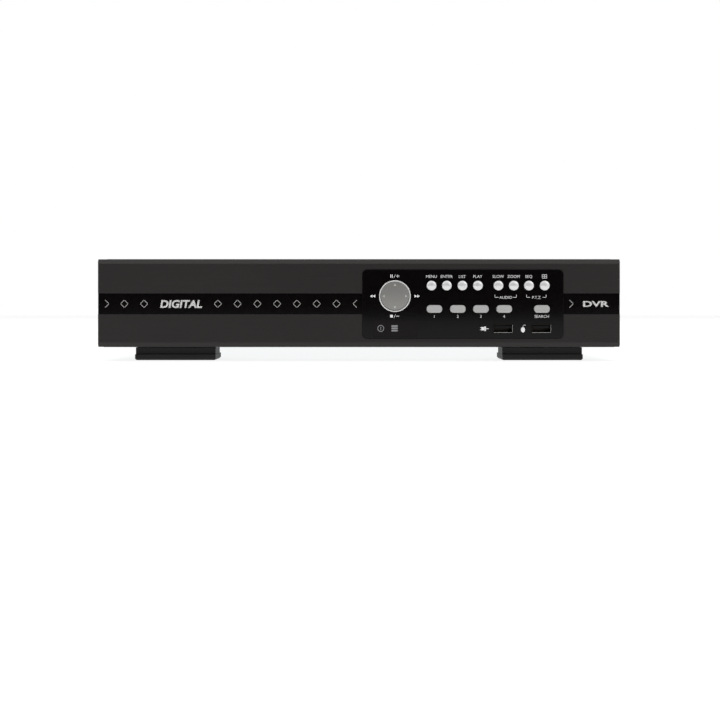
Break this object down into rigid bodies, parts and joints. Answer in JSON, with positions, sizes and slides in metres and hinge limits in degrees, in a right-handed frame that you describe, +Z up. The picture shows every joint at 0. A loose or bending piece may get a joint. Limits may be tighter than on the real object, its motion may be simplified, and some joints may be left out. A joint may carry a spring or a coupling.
{
  "type": "dvr recorder",
  "caption": "Low, wide digital video recorder with a glossy control panel, navigation disc and push buttons in front, and a fan, network, monitor, audio and bayonet video jacks behind.",
  "frame": {"origin": "on the resting plane under the middle of the bounding box", "axes": "+X to the right seen from the front, front faces -Y, +Z up"},
  "size_m": [0.342, 0.236, 0.0674],
  "materials": {
    "cover_paint": "matt textured powder coat",
    "case_paint": "satin",
    "bezel_plastic": "fine hairline texture",
    "gloss_black": "high gloss",
    "smoked_window": "smoked, high gloss",
    "foot_plastic": "matt",
    "bright_ring": "polished",
    "disc_silver": "metallic silver paint",
    "acetal": "satin",
    "button_chrome": "metallised",
    "button_satin": "satin silver paint",
    "board_green": "solder mask",
    "part_black": "moulded",
    "dark_nickel": "dark nickel",
    "port_nickel": "nickel plated",
    "port_black": "moulded",
    "bare_aluminium": "as cast",
    "coin_steel": "satin",
    "zinc_steel": "zinc plated",
    "fan_plastic": "moulded",
    "terminal_white": "moulded",
    "monitor_bronze": "passivated",
    "monitor_black": "moulded",
    "nickel_screw": "nickel plated",
    "jack_nickel": "nickel plated",
    "core_white": "moulded",
    "core_red": "moulded",
    "core_brown": "moulded",
    "screw_black": "black zinc",
    "screw_silver": "zinc plated",
    "lead_black": "insulation",
    "ribbon_white": "flat flexible lead",
    "label_silver": "satin label",
    "label_white": "satin label"
  },
  "bodies": {
    "case": {"audio_core_red": "core_red", "audio_core_white": "core_white", "audio_shells": "jack_nickel", "band_inlays": "gloss_black", "black_screws": "screw_black", "board_parts": "part_black", "chassis_base": "case_paint", "coin_cell": "coin_steel", "control_panel": "gloss_black", "data_port_shells": "dark_nickel", "dc_jack": "port_black", "disk_leads": "lead_black", "disk_port": "port_black", "disk_rails": "zinc_steel", "fan_frame": "fan_plastic", "fan_lead": "lead_black", "fan_rivets": "fan_plastic", "front_bezel": "bezel_plastic", "front_board": "board_green", "front_feet": "foot_plastic", "front_ribbon": "ribbon_white", "hard_disk": "bare_aluminium", "heat_sink": "bare_aluminium", "infrared_jack": "port_black", "jack_housings": "port_black", "jackscrews": "nickel_screw", "lan_insert": "port_black", "lan_shell": "port_nickel", "lan_sticker": "label_white", "led_window": "smoked_window", "main_board": "board_green", "monitor_insert": "monitor_black", "monitor_shell": "monitor_bronze", "nav_ring": "bright_ring", "port_tongues": "port_black", "rating_label": "label_silver", "screen_shell": "dark_nickel", "silver_screws": "screw_silver", "switches": "part_black", "terminal_header": "terminal_white", "top_cover": "cover_paint", "video_cores": "core_brown", "video_shells": "jack_nickel"},
    "button_enter_body": {"button_enter": "button_chrome"},
    "button_four_body": {"button_four": "button_satin"},
    "button_list_body": {"button_list": "button_chrome"},
    "button_menu_body": {"button_menu": "button_chrome"},
    "button_one_body": {"button_one": "button_satin"},
    "button_play_body": {"button_play": "button_chrome"},
    "button_quad_body": {"button_quad": "button_chrome"},
    "button_search_body": {"button_search": "button_satin"},
    "button_sequence_body": {"button_sequence": "button_chrome"},
    "button_slow_body": {"button_slow": "button_chrome"},
    "button_three_body": {"button_three": "button_satin"},
    "button_two_body": {"button_two": "button_satin"},
    "button_zoom_body": {"button_zoom": "button_chrome"},
    "nav_gimbal_body": {"nav_gimbal": "acetal"},
    "nav_disc_body": {"nav_disc": "disc_silver"},
    "fan_rotor_body": {"fan_rotor": "fan_plastic"},
    "terminal_plug_body": {"terminal_plug": "terminal_white"}
  },
  "joints": [
    {"name": "nav_tilt_up_down", "type": "hinge", "parent": "case", "child": "nav_gimbal_body", "pos_m": [0.0235, -0.1146, 0.0425], "axis": [1, 0, 0], "range_deg": [-3, 3], "stiffness_Nm_per_rad": 0.05},
    {"name": "nav_tilt_left_right", "type": "hinge", "parent": "nav_gimbal_body", "child": "nav_disc_body", "pos_m": [0.0235, -0.1146, 0.0425], "axis": [0, 0, 1], "range_deg": [-3, 3], "stiffness_Nm_per_rad": 0.05},
    {"name": "fan_spin", "type": "hinge", "parent": "case", "child": "fan_rotor_body", "pos_m": [0.1232, 0.098, 0.0375], "axis": [0, 1, 0], "continuous": true},
    {"name": "terminal_pull", "type": "slide", "parent": "case", "child": "terminal_plug_body", "axis": [0, 1, 0], "range_m": [0, 0.0085]},
    {"name": "press_enter", "type": "slide", "parent": "case", "child": "button_enter_body", "axis": [0, 1, 0], "range_m": [0, 0.0005], "stiffness_N_per_m": 1500},
    {"name": "press_four", "type": "slide", "parent": "case", "child": "button_four_body", "axis": [0, 1, 0], "range_m": [0, 0.0005], "stiffness_N_per_m": 1500},
    {"name": "press_list", "type": "slide", "parent": "case", "child": "button_list_body", "axis": [0, 1, 0], "range_m": [0, 0.0005], "stiffness_N_per_m": 1500},
    {"name": "press_menu", "type": "slide", "parent": "case", "child": "button_menu_body", "axis": [0, 1, 0], "range_m": [0, 0.0005], "stiffness_N_per_m": 1500},
    {"name": "press_one", "type": "slide", "parent": "case", "child": "button_one_body", "axis": [0, 1, 0], "range_m": [0, 0.0005], "stiffness_N_per_m": 1500},
    {"name": "press_play", "type": "slide", "parent": "case", "child": "button_play_body", "axis": [0, 1, 0], "range_m": [0, 0.0005], "stiffness_N_per_m": 1500},
    {"name": "press_quad", "type": "slide", "parent": "case", "child": "button_quad_body", "axis": [0, 1, 0], "range_m": [0, 0.0005], "stiffness_N_per_m": 1500},
    {"name": "press_search", "type": "slide", "parent": "case", "child": "button_search_body", "axis": [0, 1, 0], "range_m": [0, 0.0005], "stiffness_N_per_m": 1500},
    {"name": "press_sequence", "type": "slide", "parent": "case", "child": "button_sequence_body", "axis": [0, 1, 0], "range_m": [0, 0.0005], "stiffness_N_per_m": 1500},
    {"name": "press_slow", "type": "slide", "parent": "case", "child": "button_slow_body", "axis": [0, 1, 0], "range_m": [0, 0.0005], "stiffness_N_per_m": 1500},
    {"name": "press_three", "type": "slide", "parent": "case", "child": "button_three_body", "axis": [0, 1, 0], "range_m": [0, 0.0005], "stiffness_N_per_m": 1500},
    {"name": "press_two", "type": "slide", "parent": "case", "child": "button_two_body", "axis": [0, 1, 0], "range_m": [0, 0.0005], "stiffness_N_per_m": 1500},
    {"name": "press_zoom", "type": "slide", "parent": "case", "child": "button_zoom_body", "axis": [0, 1, 0], "range_m": [0, 0.0005], "stiffness_N_per_m": 1500}
  ]
}
